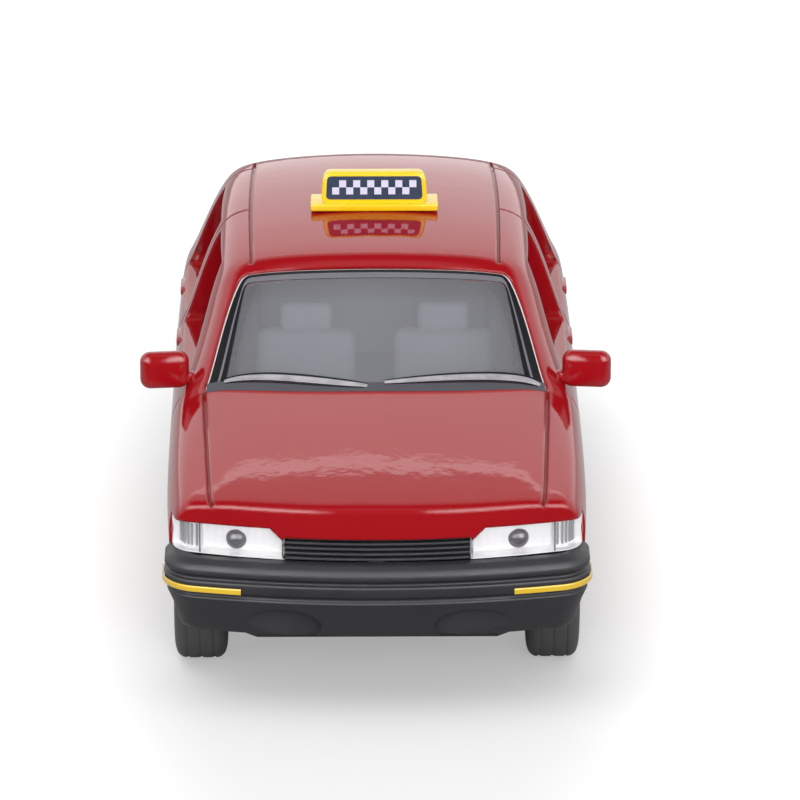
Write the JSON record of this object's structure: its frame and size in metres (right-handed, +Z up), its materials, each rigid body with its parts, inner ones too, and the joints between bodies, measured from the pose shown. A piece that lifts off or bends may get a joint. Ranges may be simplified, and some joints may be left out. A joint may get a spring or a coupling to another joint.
{
  "type": "toy taxi",
  "caption": "Die-cast toy hatchback taxi with a roof sign, clear windows, a grey cabin and free-rolling wheelsets in a black base.",
  "frame": {"origin": "on the ground under the middle of the car", "axes": "+Z up, the front of the car towards -Y, +X to the car's left side"},
  "size_m": [0.0288, 0.0566, 0.024],
  "materials": {
    "paint": "gloss red enamel on cast zinc",
    "window": "clear moulding with a light grey tint",
    "black_plastic": "satin moulded plastic",
    "lamp_clear": "clear moulding",
    "lamp_silver": "vacuum silvered plastic",
    "amber": "gloss",
    "tail_red": "gloss, see-through red",
    "wiper_silver": "bright thin metal with black edges",
    "sign_yellow": "gloss moulding",
    "sign_navy": "printed inlay with a pale chequer band",
    "seat_grey": "matt moulding",
    "dash_grey": "matt moulding",
    "steel": "plain drawn steel",
    "rim": "silver painted",
    "tyre": "matt soft rubber"
  },
  "bodies": {
    "car": {"body_shell": "paint", "mirror_left": "paint", "mirror_right": "paint", "windscreen": "window", "rear_window": "window", "side_glass_left": "window", "side_glass_right": "window", "grille": "black_plastic", "front_bumper": "black_plastic", "rear_bumper": "black_plastic", "chassis_base": "black_plastic", "headlight_lens_left": "lamp_clear", "headlight_lens_right": "lamp_clear", "headlight_reflector_left": "lamp_silver", "headlight_reflector_right": "lamp_silver", "indicator_left": "amber", "indicator_right": "amber", "tail_light_left": "tail_red", "tail_light_right": "tail_red", "wipers": "wiper_silver", "sign_housing": "sign_yellow", "sign_panel_front": "sign_navy", "sign_panel_rear": "sign_navy", "seat_tub": "seat_grey", "dashboard": "dash_grey", "steering_wheel": "dash_grey", "base_screws": "steel"},
    "front_wheelset": {"front_axle": "steel", "wheel_front_left": "rim", "wheel_front_right": "rim", "tyre_front_left": "tyre", "tyre_front_right": "tyre"},
    "rear_wheelset": {"rear_axle": "steel", "wheel_rear_left": "rim", "wheel_rear_right": "rim", "tyre_rear_left": "tyre", "tyre_rear_right": "tyre"}
  },
  "joints": [
    {"name": "front_axle_spin", "type": "hinge", "parent": "car", "child": "front_wheelset", "pos_m": [0, -0.0174, 0.0045], "axis": [1, 0, 0], "continuous": true},
    {"name": "rear_axle_spin", "type": "hinge", "parent": "car", "child": "rear_wheelset", "pos_m": [0, 0.0192, 0.0045], "axis": [1, 0, 0], "continuous": true}
  ]
}
